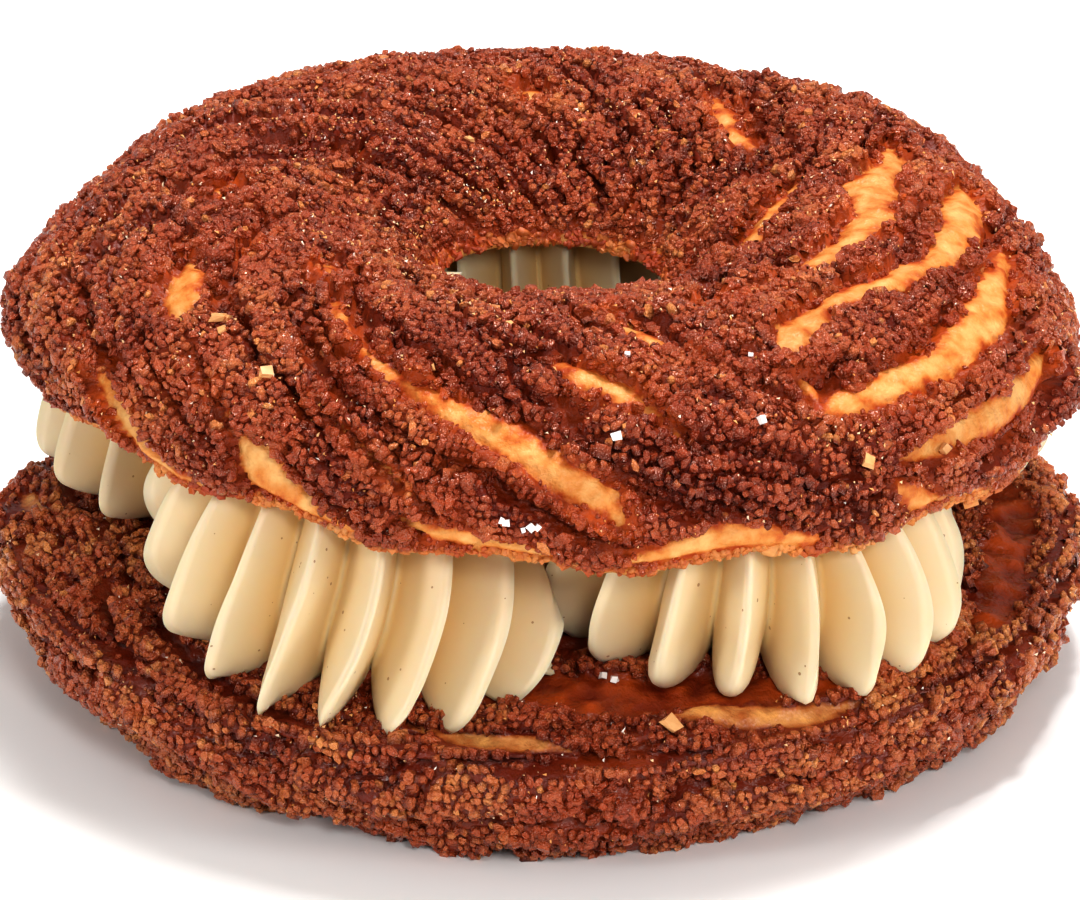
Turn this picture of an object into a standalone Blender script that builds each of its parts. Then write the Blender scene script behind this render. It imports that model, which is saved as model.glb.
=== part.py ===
"""Paris-brest: a ring of choux pastry, split and filled with five piped swirls of cream.

Metres, +Z up. The ring lies flat on z = 0 with its axis on +Z, and the front is toward -Y.
Seven closed solids: the base ring, five fluted cream swirls and the lid ring.
"""
import math

import bpy
import numpy as np

MM = 0.001
GAP = 0.45 * MM                 # clear space between one piece and the next
FOOT_GAP = 0.55 * MM            # and between the cream and the crust's crown under it

# Base ring: a cushion section, flat underneath
BASE_MID = 34.5 * MM            # radius of the section's middle
BASE_HALF = 21.7 * MM           # half the section's width
BASE_WAIST = 12.0 * MM          # height of the widest level
BASE_RISE = 5.4 * MM            # from the widest level to the crown
BASE_SINK = 15.4 * MM           # full depth below it, before the flat foot is cut
BASE_FLANK = 1.16               # over 1 gives a straighter flank below the widest level
BASE_COLUMNS = 64
BASE_OUTER_ROWS = 13            # from the foot over the shoulder to the crown
BASE_INNER_ROWS = 5             # from the crown down the hole to the foot
BASE_ROLLS = 5                  # rolls of crust from the foot to the crown
BASE_ROLL_DEPTH = 0.45 * MM
# Swellings: degrees round the ring, degrees round the section, radius, height
BASE_LUMPS = (
    (178, 34, 20 * MM, 3.1 * MM),
    (4, 32, 17 * MM, 1.9 * MM),
    (-33, -14, 8 * MM, 0.9 * MM),
    (-150, -25, 18 * MM, -0.6 * MM),
    (-86, -42, 22 * MM, 1.3 * MM),
    (-102, 42, 16 * MM, -1.2 * MM),
)

# Lid ring: a domed section on a straight sloping underside
LID_MID = 34.9 * MM
LID_OUT = 20.3 * MM             # from the section's middle to the outer edge
LID_IN = 23.2 * MM              # and to the edge of the hole
LID_WAIST = 37.1 * MM
LID_RISE = 14.2 * MM
LID_TUCK = 8.0 * MM             # how fast the edge turns under below the widest level
LID_FROM = -25.0                # degrees round the section: outer edge of the underside
LID_TO = 165.0                  # and its edge at the hole
LID_SHOULDER = 0.92             # under 1 gives a fuller outer shoulder
LID_SEAT = 8.0 * MM             # width of the underside's band that follows the wavy edge
LID_COLUMNS = 96
LID_ROWS = 15
LID_SHIFT = (0.9 * MM, 1.0 * MM)
LID_TILT = -1.95 / 55.0         # the lid sits lower toward +X
LID_LOBES = 0.8 * MM            # three broad lobes in its outline
LID_LUMP = 0.35 * MM            # broad swellings of the crust
LID_LUMPS = (
    (163, 33, 22 * MM, -1.8 * MM),
    (-174, -4, 14 * MM, 1.3 * MM),
    (-14, 0, 16 * MM, 1.3 * MM),
    (45, 58, 18 * MM, 0.9 * MM),
    (-28, 30, 16 * MM, 0.6 * MM),
)
RIM_WAVE = 0.8 * MM             # rise and fall of the outer edge
RIM_WAVES = 14
RIM_SAG = 1.1 * MM              # the edge hangs lower toward +X as well

# Cracks in the lid's crust: (degrees round the ring, degrees round the section), width
CRACKS = (
    (((-57, 42), (-35, 45), (-13, 50), (-3, 50)), 5.0 * MM),
    (((-49, 17), (-33, 19), (-18, 22)), 3.0 * MM),
    (((-54, 76), (-41, 81), (-16, 70), (0, 68), (15, 61)), 4.0 * MM),
    (((-58, 100), (-30, 100), (-10, 98), (5, 93), (20, 82)), 4.0 * MM),
    (((-124, 82), (-111, 58), (-99, 43), (-91, 30), (-83, 15)), 3.5 * MM),
)
CRACK_DEPTH = 0.8 * MM

# Cream swirls: fluted mounds side by side round the ring
SWIRL_RING = 34.6 * MM          # radius of the circle of their centres
SWIRL_FIRST = -123.2            # degrees, the front left swirl
SWIRL_COUNT = 5
SWIRL_LEVELS = (0.0, 0.22, 0.5, 0.78, 1.0)
SWIRL_SWELL = (0.88, 0.985, 1.0, 0.92, 0.78)
SWIRL_FLAT = 0.04               # how much narrower it is across the ring than along it
HOLE_FULLNESS = 0.96            # its upper part stays this full on the side of the hole
FLUTE_DEPTH = 0.32              # of the radius
FLUTE_STATIONS = (0.0, 0.36, 0.64)
CAP_RING = 0.5
# One row for each swirl: flutes, turn of the first crest, twist toward the foot (degrees),
# radius, fullness of the foot, and how far the middle and the foot are pushed toward +X and +Y
SWIRLS = (
    (18, -180.0, -30.0, 22.8 * MM, 0.91, (0.0, 0.0), (3.5 * MM, -1.5 * MM)),
    (20, -152.0, 0.0, 23.3 * MM, 0.88, (1.2 * MM, 0.0), (-1.2 * MM, -0.3 * MM)),
    (18, -25.0, -8.0, 22.4 * MM, 0.86, (0.0, 0.0), (0.0, 0.5 * MM)),
    (21, -96.5, 6.0, 22.0 * MM, 0.86, (0.5 * MM, 0.0), (0.5 * MM, 0.0)),
    (17, -130.0, -6.0, 22.8 * MM, 0.86, (-0.8 * MM, 0.0), (0.0, 0.0)),
)


def clear_scene():
    for item in list(bpy.data.objects):
        bpy.data.objects.remove(item, do_unlink=True)


def new_collection(name):
    group = bpy.data.collections.new(name)
    bpy.context.scene.collection.children.link(group)
    return group


def finish_material(name, colour, roughness):
    material = bpy.data.materials.new(name)
    material.use_nodes = True
    shader = material.node_tree.nodes["Principled BSDF"]
    shader.inputs["Base Color"].default_value = (*colour, 1.0)
    shader.inputs["Roughness"].default_value = roughness
    shader.inputs["Metallic"].default_value = 0.0
    return material


def turned(name, points, columns, closed, group):
    """A profile of (radius, height) points, turned about Z and made a plain mesh."""
    count = len(points)
    edges = [(i, i + 1) for i in range(count - 1)]
    if closed:
        edges.append((count - 1, 0))
    profile = bpy.data.meshes.new(name + "_profile")
    profile.from_pydata([(r, 0.0, z) for r, z in points], edges, [])
    source = bpy.data.objects.new(name + "_profile", profile)
    group.objects.link(source)
    screw = source.modifiers.new("turn", "SCREW")
    screw.angle = math.tau
    screw.steps = columns
    screw.render_steps = columns
    screw.use_merge_vertices = True
    screw.merge_threshold = 1e-6
    mesh = bpy.data.meshes.new_from_object(source.evaluated_get(bpy.context.evaluated_depsgraph_get()))
    mesh.name = name
    bpy.data.objects.remove(source, do_unlink=True)
    item = bpy.data.objects.new(name, mesh)
    group.objects.link(item)
    return item


def get_points(item):
    flat = np.empty(len(item.data.vertices) * 3)
    item.data.vertices.foreach_get("co", flat)
    return flat.reshape(-1, 3)


def set_points(item, points, material):
    mesh = item.data
    mesh.vertices.foreach_set("co", points.reshape(-1))
    mesh.polygons.foreach_set("use_smooth", [True] * len(mesh.polygons))
    mesh.materials.clear()
    mesh.materials.append(material)
    mesh.update()


def signed_power(value, power):
    return np.sign(value) * np.abs(value) ** power


def lump_sum(around, turn, lumps, ring_radius, section_radius):
    """Height of some smooth swellings, each given by its place, radius and height."""
    total = np.zeros(around.shape)
    for ring_at, section_at, width, height in lumps:
        across = ((around - math.radians(ring_at) + math.pi) % math.tau - math.pi) * ring_radius
        along = (turn - math.radians(section_at)) * section_radius
        total += height * np.exp(-(across ** 2 + along ** 2) / (0.6 * width) ** 2)
    return total


def base_section(turn):
    """Radius and height at an angle round the base's section: 0 is outward, 90 is up."""
    power = np.where(np.sin(turn) > 0, 1.0, BASE_FLANK)
    radius = BASE_MID + BASE_HALF * signed_power(np.cos(turn), power)
    reach = np.where(np.sin(turn) > 0, BASE_RISE, BASE_SINK)
    return radius, np.maximum(BASE_WAIST + reach * np.sin(turn), 0.0)


def base_outline():
    foot = -math.asin(BASE_WAIST / BASE_SINK)
    crown = math.pi / 2
    outer = np.linspace(foot, crown, BASE_OUTER_ROWS + 1)
    inner = np.linspace(crown, math.pi - foot, BASE_INNER_ROWS + 1)[1:]
    radius, height = base_section(np.concatenate([outer, inner]))
    return list(zip(radius[::-1], height[::-1]))


def base_relief(around, turn):
    """Wavy rolls of crust that follow the edge, and broad lumps, both fading out under the cream."""
    foot = -math.asin(BASE_WAIST / BASE_SINK)
    along = (turn - foot) / (math.pi / 2 - foot)
    sway = 0.09 * np.sin(3 * around + 0.6) + 0.06 * np.sin(7 * around + 2.0)
    rolls = np.cos(math.tau * BASE_ROLLS * (along + sway))
    low_fade = np.clip(along / 0.05, 0, 1)
    roll_fade = low_fade * np.clip((0.62 - along) / 0.15, 0, 1)
    lump_fade = low_fade * np.clip((0.85 - along) / 0.25, 0, 1)
    lumps = lump_sum(around, turn, BASE_LUMPS, BASE_MID + BASE_HALF, (BASE_HALF + BASE_WAIST) / 2)
    return BASE_ROLL_DEPTH * rolls * roll_fade + lumps * lump_fade


def build_base(group, material):
    ring = turned("base", base_outline(), BASE_COLUMNS, True, group)
    points = get_points(ring)
    around = np.arctan2(points[:, 1], points[:, 0])
    radius = np.hypot(points[:, 0], points[:, 1])
    height = points[:, 2] - BASE_WAIST
    power = np.where(height > 0, 1.0, 1.0 / BASE_FLANK)
    across = signed_power((radius - BASE_MID) / BASE_HALF, power)
    turn = np.arctan2(height / np.where(height > 0, BASE_RISE, BASE_SINK), across)
    swell = base_relief(around, turn)
    moved = radius + swell * np.cos(turn)
    points[:, 2] = np.maximum(points[:, 2] + swell * np.sin(turn), 0.0)
    points[:, 0] = moved * np.cos(around)
    points[:, 1] = moved * np.sin(around)
    set_points(ring, points, material)
    return ring


def base_top(x, y):
    """Height of the base's upper surface under the cream."""
    across = np.clip((np.hypot(x, y) - BASE_MID) / BASE_HALF, -0.97, 0.97)
    turn = np.arccos(across)
    slope = BASE_RISE / BASE_HALF / np.tan(turn)
    relief = base_relief(np.arctan2(y, x), turn) * (np.sin(turn) + slope * np.cos(turn))
    return BASE_WAIST + BASE_RISE * np.sin(turn) + relief


def lid_section(turn):
    """Radius and height at an angle round the lid's section: 0 is outward, 90 is up."""
    out = np.cos(turn)
    radius = LID_MID + np.where(out > 0, LID_OUT * np.abs(out) ** LID_SHOULDER, LID_IN * out)
    reach = np.where(np.sin(turn) > 0, LID_RISE, LID_TUCK)
    return radius, LID_WAIST + reach * np.sin(turn)


def lid_outline():
    turns = np.radians(np.linspace(LID_FROM, LID_TO, LID_ROWS + 1))
    radius, height = lid_section(turns)
    edge_radius, edge_height = radius[0], height[0]
    seat = edge_radius - LID_SEAT
    part = LID_SEAT / (edge_radius - radius[-1])
    seat_height = edge_height + part * (height[-1] - edge_height)
    return list(zip(radius[::-1], height[::-1])) + [(seat, seat_height)]


def rim_height(around):
    """How far the lid's outer edge rises or hangs at an angle round the ring."""
    wave = np.cos(RIM_WAVES * around + math.radians(RIM_WAVES * 147.0))
    slow = 0.35 * np.sin(5 * around + 0.4)
    return RIM_WAVE * (wave + slow) - RIM_SAG * np.cos(around)


def lobes(around):
    return LID_LOBES * np.cos(3 * (around - math.pi))


def path_distance(around, turn, path):
    """Distance over the lid's surface from points to a crack's path."""
    best = np.full(around.shape, 1.0)
    radius = lid_section(turn)[0]
    section = (LID_OUT + LID_RISE) / 2
    for (a0, t0), (a1, t1) in zip(path, path[1:]):
        step = np.array([math.radians(a1 - a0), math.radians(t1 - t0)])
        du = (around - math.radians(a0) + math.pi) % math.tau - math.pi
        dv = turn - math.radians(t0)
        scale = np.array([radius * 1.0, np.full(around.shape, section)])
        dot = du * step[0] * scale[0] ** 2 + dv * step[1] * scale[1] ** 2
        size = (step[0] * scale[0]) ** 2 + (step[1] * scale[1]) ** 2
        part = np.clip(dot / size, 0, 1)
        gap = np.hypot((du - part * step[0]) * scale[0], (dv - part * step[1]) * scale[1])
        best = np.minimum(best, gap)
    return best


def lid_relief(around, turn):
    """Broad lumps that spiral round the lid, and the open cracks between them."""
    lumps = np.sin(9 * around + 4.0 * turn) + 0.8 * np.sin(5 * around - 3.0 * turn + 1.0)
    swell = LID_LUMP * lumps
    swell = swell + lump_sum(around, turn, LID_LUMPS, LID_MID + LID_OUT, (LID_OUT + LID_RISE) / 2)
    for path, width in CRACKS:
        groove = np.clip(1.0 - path_distance(around, turn, path) / width, 0, 1)
        swell = swell - CRACK_DEPTH * groove ** 0.8
    low = math.radians(LID_FROM)
    high = math.radians(LID_TO)
    fade = np.clip((turn - low) / 0.3, 0, 1) * np.clip((high - turn) / 0.5, 0, 1)
    return swell * fade


def build_lid(group, material):
    ring = turned("lid", lid_outline(), LID_COLUMNS, True, group)
    points = get_points(ring)
    around = np.arctan2(points[:, 1], points[:, 0])
    radius = np.hypot(points[:, 0], points[:, 1])
    height = points[:, 2] - LID_WAIST
    out = radius - LID_MID
    across = np.where(out > 0, np.abs(out / LID_OUT) ** (1 / LID_SHOULDER), out / LID_IN)
    turn = np.arctan2(height / np.where(height > 0, LID_RISE, LID_TUCK), across)
    swell = lid_relief(around, turn)
    outer = np.clip(out / LID_OUT, 0, 1)
    edge = np.clip(1.0 - (turn - math.radians(LID_FROM)) / 1.1, 0, 1)
    under = (height < 0) & (out < LID_OUT * 0.6)
    swell = np.where(under, 0.0, swell)
    edge = np.where(under, 0.0, edge)
    radius = radius + swell * np.cos(turn) + np.where(under, 0.0, lobes(around) * outer)
    height = height + swell * np.sin(turn) + rim_height(around) * edge
    x = radius * np.cos(around)
    points[:, 0] = x + LID_SHIFT[0]
    points[:, 1] = radius * np.sin(around) + LID_SHIFT[1]
    points[:, 2] = LID_WAIST + height + LID_TILT * x
    set_points(ring, points, material)
    return ring


def lid_under(x, y):
    """Height that the cream may rise to: the lid's straight underside, and the wave of its edge."""
    x = x - LID_SHIFT[0]
    y = y - LID_SHIFT[1]
    around = np.arctan2(y, x)
    radius = np.hypot(x, y)
    (outer, inner), (outer_z, inner_z) = lid_section(np.radians([LID_FROM, LID_TO]))
    slope = (outer_z - inner_z) / (outer - inner)
    edge = np.clip((radius - outer + LID_SEAT) / LID_SEAT, 0, 1)
    hang = rim_height(around)
    hang = np.minimum(hang, 0.4 * hang)
    return inner_z + slope * (radius - inner) + hang * edge + LID_TILT * x


def flute(phase):
    """1 on a flute's crest and 0 in the sharp valley between two."""
    return np.abs(np.sin(phase / 2)) ** 0.9


def swirl_outline():
    """A can of unit radius and height, whose vertices the swirl's own shape then moves."""
    side = [(1.0, level) for level in SWIRL_LEVELS]
    return [(0.0, 1.0)] + side[::-1] + [(CAP_RING, 0.0), (0.0, 0.0)]


def build_swirl(index, group, material):
    flutes, first, twist, size, foot, (off_x, off_y), (push_x, push_y) = SWIRLS[index]
    name = "cream_swirl_%d" % (index + 1)
    columns = flutes * len(FLUTE_STATIONS)
    mound = turned(name, swirl_outline(), columns, False, group)
    points = get_points(mound)
    fullness = np.hypot(points[:, 0], points[:, 1])
    level = points[:, 2]
    column = np.round(np.arctan2(points[:, 1], points[:, 0]) / math.tau * columns) % columns
    station = np.array(FLUTE_STATIONS)[(column % len(FLUTE_STATIONS)).astype(int)]
    phase = (column // len(FLUTE_STATIONS) + station) * math.tau
    turn = (phase - math.pi) / flutes + math.radians(first)
    centre = math.radians(SWIRL_FIRST + 360.0 / SWIRL_COUNT * index)
    low = np.clip(1.0 - level / SWIRL_LEVELS[2], 0, 1)
    turn = turn + math.radians(twist) * low
    hub_x = SWIRL_RING * math.cos(centre) + off_x + push_x * low
    hub_y = SWIRL_RING * math.sin(centre) + off_y + push_y * low
    swell = np.interp(level, SWIRL_LEVELS, (foot,) + SWIRL_SWELL[1:])
    toward_hole = np.clip(-np.cos(turn - centre), 0, 1) * np.clip(2.0 * level - 1.0, 0, 1)
    swell = np.maximum(swell, swell + (HOLE_FULLNESS - swell) * toward_hole)
    swell = swell * (1.0 - SWIRL_FLAT * np.cos(turn - centre) ** 2)
    reach = size * swell * (1.0 - FLUTE_DEPTH * (1.0 - flute(phase)))
    reach = np.minimum(reach, neighbour_limit(turn, centre, hub_x, hub_y))
    x = hub_x + reach * fullness * np.cos(turn)
    y = hub_y + reach * fullness * np.sin(turn)
    lower = base_top(x, y) + FOOT_GAP
    upper = lid_under(x, y) - GAP
    points[:, 0] = x
    points[:, 1] = y
    points[:, 2] = lower + (upper - lower) * level
    set_points(mound, points, material)
    return mound


def neighbour_limit(turn, centre, hub_x, hub_y):
    """How far a swirl may reach before it meets the plane it shares with a neighbour."""
    limit = np.full(turn.shape, 1.0)
    for side in (-1, 1):
        normal = centre + side * (math.pi / SWIRL_COUNT + math.pi / 2)
        wall = -(hub_x * math.cos(normal) + hub_y * math.sin(normal)) - GAP / 2
        facing = np.cos(turn - normal)
        limit = np.where(facing > 0.05, np.minimum(limit, wall / np.maximum(facing, 0.05)), limit)
    return limit


def centre_on_origin(items):
    """Moves the whole so that its box is centred on Z and stands on z = 0."""
    stack = np.concatenate([get_points(item) for item in items])
    middle = (stack.min(axis=0) + stack.max(axis=0)) / 2
    shift = np.array([middle[0], middle[1], stack[:, 2].min()])
    for item in items:
        points = get_points(item) - shift
        item.data.vertices.foreach_set("co", points.reshape(-1))
        item.data.update()


def main():
    clear_scene()
    group = new_collection("paris_brest")
    crust = finish_material("baked_crust", (0.15, 0.035, 0.012), 0.42)
    lid_crust = finish_material("baked_lid_crust", (0.17, 0.04, 0.014), 0.40)
    cream = finish_material("vanilla_cream", (0.80, 0.62, 0.38), 0.45)
    items = [build_base(group, crust)]
    for index in range(SWIRL_COUNT):
        items.append(build_swirl(index, group, cream))
    items.append(build_lid(group, lid_crust))
    centre_on_origin(items)


main()
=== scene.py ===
"""Paris-brest: the look of the baked crust, its sugar grains and the piped cream.

Metres, +Z up, the front toward -Y. Places on a ring are given by two angles in degrees: the first
goes round the ring, 0 toward +X and -90 at the front, and the second goes round its section, 0
outward and 90 up.
"""

import math

import bpy
import numpy as np
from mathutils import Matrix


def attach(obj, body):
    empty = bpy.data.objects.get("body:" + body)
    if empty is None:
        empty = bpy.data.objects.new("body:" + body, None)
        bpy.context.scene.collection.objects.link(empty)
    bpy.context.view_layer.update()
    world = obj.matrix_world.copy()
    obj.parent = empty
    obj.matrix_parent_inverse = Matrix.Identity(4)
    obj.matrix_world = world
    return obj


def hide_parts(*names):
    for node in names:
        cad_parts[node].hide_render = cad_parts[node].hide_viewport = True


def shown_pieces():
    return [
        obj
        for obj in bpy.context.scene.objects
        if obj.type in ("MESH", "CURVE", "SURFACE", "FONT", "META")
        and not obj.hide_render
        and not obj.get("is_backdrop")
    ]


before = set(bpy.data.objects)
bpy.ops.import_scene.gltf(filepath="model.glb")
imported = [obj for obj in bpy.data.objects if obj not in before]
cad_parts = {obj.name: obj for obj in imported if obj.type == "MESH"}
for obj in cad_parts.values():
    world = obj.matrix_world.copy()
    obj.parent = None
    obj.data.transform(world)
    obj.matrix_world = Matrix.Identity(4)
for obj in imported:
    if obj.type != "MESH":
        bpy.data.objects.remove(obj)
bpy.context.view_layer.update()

MM = 0.001
RING_AT = (0.475 * MM, 0.003 * MM)      # the base ring's axis in the part's frame

# Base ring, as in the part
BASE_MID = 34.5 * MM
BASE_HALF = 21.7 * MM
BASE_WAIST = 12.0 * MM
BASE_RISE = 5.4 * MM
BASE_SINK = 15.4 * MM
BASE_FLANK = 1.16
BASE_ROLLS = 5
BASE_ROLL_DEPTH = 0.45 * MM
BASE_FOLDS = 12                         # finer folds in the crust over the rolls
BASE_LUMPS = (
    (178, 34, 20 * MM, 3.1 * MM),
    (4, 32, 17 * MM, 1.9 * MM),
    (-33, -14, 8 * MM, 0.9 * MM),
    (-150, -25, 18 * MM, -0.6 * MM),
    (-86, -42, 22 * MM, 1.3 * MM),
    (-102, 42, 16 * MM, -1.2 * MM),
)

# Lid ring, as in the part
LID_MID = 34.9 * MM
LID_OUT = 20.3 * MM
LID_IN = 23.2 * MM
LID_WAIST = 37.1 * MM
LID_RISE = 14.2 * MM
LID_TUCK = 8.0 * MM
LID_FROM = math.radians(-25.0)
LID_TO = math.radians(165.0)
LID_SHOULDER = 0.92
LID_SEAT = 8.0 * MM
LID_SHIFT = (0.9 * MM, 1.0 * MM)
LID_TILT = -1.95 / 55.0
LID_LOBES = 0.8 * MM
LID_LUMPS = (
    (163, 33, 22 * MM, -1.8 * MM),
    (-174, -4, 14 * MM, 1.3 * MM),
    (-14, 0, 16 * MM, 1.3 * MM),
    (45, 58, 18 * MM, 0.9 * MM),
    (-28, 30, 16 * MM, 0.6 * MM),
)
RIM_WAVE = 0.8 * MM
RIM_WAVES = 14
RIM_SAG = 1.1 * MM

# Cream swirls, as in the part
GAP = 0.45 * MM
FOOT_GAP = 0.1 * MM
SWIRL_RING = 34.6 * MM
SWIRL_FIRST = -123.2
SWIRL_COUNT = 5
SWIRL_LEVELS = (0.0, 0.22, 0.5, 0.78, 1.0)
SWIRL_SWELL = (0.88, 0.985, 1.0, 0.92, 0.78)
SWIRL_FLAT = 0.04
HOLE_FULLNESS = 0.96
FLUTE_DEPTH = 0.32
BLADE_ARCH = 1.6 * MM                   # between two blades the cream's foot rises this much
TWIST_POWER = 1.5
SWIRL_LUMPS = 0.35 * MM
SWIRL_MERGE = 1.5 * MM                  # how far a swirl's blades press into the next swirl
SWIRL_TUCK = 4.0 * MM                   # and how far it tucks in behind the one on its right
SWIRL_BLUNT = (0.4, 1.3, 1.3, 1.3, 1.3)  # how round the blades are at their feet
# blades, place of the first, twist and spread in degrees, size, foot, the hub's offset and its foot's
SWIRLS = (
    (18, -180.6, -34.3, 0.0, 24.0 * MM, 0.89, (-0.3 * MM, 2.1 * MM), (4.7 * MM, -5.6 * MM)),
    (20, -143.1, -7.0, 6.2, 23.6 * MM, 0.94, (-1.3 * MM, -2.1 * MM), (0.6 * MM, 2.4 * MM)),
    (18, -25.0, -8.0, 0.0, 22.6 * MM, 0.86, (0.0, 0.0), (0.0, 0.5 * MM)),
    (21, -96.5, 6.0, 0.0, 22.2 * MM, 0.86, (0.5 * MM, 0.0), (0.5 * MM, 0.0)),
    (17, -106.6, -4.3, 0.0, 24.0 * MM, 0.64, (2.4 * MM, -3.6 * MM), (-0.5 * MM, 0.5 * MM)),
)

# Open cracks in the lid's sugar crust: (round the ring, round the section, half width in mm)
LID_CRACKS = (
    ((-57.5, 42, 0.5), (-50, 43, 1.2), (-35.5, 45, 1.7), (-22, 48, 1.7), (-13, 50.5, 1.5), (-3, 50, 0.4)),
    ((-49, 17, 0.4), (-42, 18, 1.1), (-33, 18.5, 1.4), (-25, 20, 1.2), (-18, 22.5, 0.5)),
    ((-55, 68, 0.4), (-53, 76, 1.2), (-48, 80, 0.9), (-41, 84, 0.5), (-31, 81, 0.8), (-22, 76.5, 0.9),
     (-16, 71, 0.6), (-8, 70, 1.2), (-1, 67, 1.5), (6, 64, 2.0), (12, 61, 1.5), (16, 59, 0.5)),
    ((-60, 100, 0.7), (-54, 99, 1.1), (-48, 99, 0.2), (-32, 101, 0.5), (-20, 98, 1.2), (-8, 95, 1.4),
     (4, 92, 1.5), (13, 90, 1.6), (20, 82, 1.1), (28, 73, 0.5)),
    ((-20, 126, 0.2), (-12, 128, 0.8), (-1, 126, 0.8), (8, 121, 0.7), (16, 113, 0.5), (20, 108, 0.2)),
    ((42, 106, 0.2), (48, 105, 0.6), (54, 98, 0.8), (58, 92, 0.6), (61, 87, 0.2)),
    ((-128, 88, 0.2), (-118, 70, 0.3), (-111, 58, 0.5), (-105, 51, 0.9), (-99, 43, 1.0), (-95, 37, 1.7),
     (-91.5, 30, 1.3), (-88, 23, 1.7), (-84, 14, 1.4), (-82.5, 8, 0.6)),
    ((-88.5, 72, 0.3), (-86, 66, 0.9), (-82, 61, 0.9), (-79, 55, 0.5), (-77, 48, 0.4), (-76, 42, 0.2)),
    ((-81.5, 102, 0.2), (-78, 93, 0.6), (-76, 87, 0.7), (-73, 80, 0.5), (-70, 73, 0.2)),
    ((-118, 40, 0.1), (-109.5, 24, 0.2), (-103.5, 10, 0.2), (-99, 2, 0.3)),
    ((-56, 73, 0.4), (-57.5, 62, 0.2), (-57, 50, 0.3), (-58, 40, 0.1)),
    ((-159, 78, 0.2), (-153, 71, 0.4), (-149, 65, 1.3), (-146.5, 60, 1.5), (-144, 54, 0.5)),
    ((-142, 104, 0.4), (-137, 99, 1.0), (-133, 95, 0.4)),
    ((-161, 101, 0.1), (-155, 95, 0.5), (-149, 87, 0.3)),
    ((-137, 42, 0.2), (-132, 34, 0.3), (-128.5, 24, 0.15), (-125, 13, 0.2)),
    ((-184, 92, 0.4), (-178, 91, 0.9), (-174, 89, 0.2)),
    ((90, 104, 0.2), (94, 101, 1.0), (98, 98, 0.3)),
    ((150, 52, 0.3), (141, 40, 1.2), (133, 30, 1.4), (126, 16, 0.6)),
    ((118, 66, 0.2), (108, 50, 0.9), (101, 36, 1.3), (96, 22, 0.8)),
    ((82, 58, 0.3), (74, 44, 1.1), (67, 31, 1.0), (62, 18, 0.4)),
    ((46, 48, 0.3), (38, 38, 1.0), (30, 27, 1.2), (24, 14, 0.5)),
    ((176, 50, 0.2), (168, 36, 0.8), (162, 20, 0.5)),
)
# Bare patches at the lid's outer edge
LID_BARE = (
    ((-151, 16, 0.6), (-147, 11, 1.7), (-143, 4, 2.3), (-140, -5, 2.2), (-137, -14, 1.7), (-130, -19, 1.2)),
    ((-125, 14, 1.6), (-123, 8, 2.9), (-121.5, 0, 3.4), (-118, -8, 3.2), (-113, -15, 1.8)),
    ((-106, 2, 0.6), (-102, -5, 2.0), (-97, -11, 2.4), (-91, -15, 1.6)),
    ((-82, -12, 1.4), (-77, -9, 2.6), (-72, -7, 3.1), (-67, -9, 2.7), (-62, -13, 1.4)),
    ((-51, 9, 0.6), (-49, 1, 1.8), (-47, -8, 2.0), (-42, -14, 0.9), (-34, -16, 0.7)),
    ((-22, -12, 1.2), (-14, -10, 1.0)),
    ((58, -8, 2.0), (66, -6, 1.8)),
    ((104, -9, 1.8), (113, -4, 2.2)),
    ((152, -8, 2.0), (160, -6, 1.6)),
)
CRACK_EXTRA = 0.8 * MM                  # the grains at a crack's edge lean over it
CRACK_DEPTH = 0.8 * MM
EDGE_LIP = 0.25 * MM
GROOVE_DEPTH = 1.7 * MM
RIDGE_HEIGHT = 1.0 * MM
UNDER_GRAINS = 0.15 * MM                # the sheet lies this far down between the grains
BARE_BELOW = math.radians(-17.0)        # the lid's lowest edge and the hole's edge are bare
BARE_ABOVE = math.radians(158.0)
SPIRAL_LEAN = 0.65                      # how the ridges lean as they climb over the ring
RIGHT_FROM = -57.0                      # between these they lie along the ring instead
RIGHT_TO = 26.0

# Bare and glazed places on the base
BASE_BARE = (
    ((-78, 45, 1.2), (-72, 40, 2.4), (-66, 30, 2.8), (-60, 23, 2.6), (-54, 22, 1.2)),
    ((-105, 33, 0.8), (-99, 27, 1.7), (-92, 25, 1.9), (-87, 20, 0.8)),
    ((-183, 30, 1.2), (-178, 36, 1.0)),
    ((14, 17, 0.8), (6, 24, 0.8)),
)
BASE_GLAZE = (
    ((-96, 57, 1.6), (-88, 55, 3.0), (-80, 52, 3.2), (-70, 51, 2.2), (-61, 43, 1.8), (-53, 36, 1.0)),
    ((3, 50, 1.2), (-4, 46, 2.0), (-14, 43, 2.6), (-22, 38, 2.6), (-29, 30, 2.0)),
)
BASE_GROOVES = (
    ((-156, 46, 0.7), (-142, 20, 1.0), (-134, 12, 1.0), (-126, 0, 0.7), (-118, -6, 0.4)),
    ((-147, 50, 0.4), (-137, 41, 0.9), (-128, 31, 0.8), (-116, 22, 0.4)),
    ((-100, 14, 0.3), (-90, 8, 0.9), (-80, 16, 0.8), (-70, 8, 0.4)),
    ((-50, 8, 0.4), (-38, 14, 0.8), (-26, 10, 0.9), (-12, 16, 0.4)),
    ((4, 12, 0.8), (-6, 8, 0.7), (-18, 4, 0.3)),
)

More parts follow.
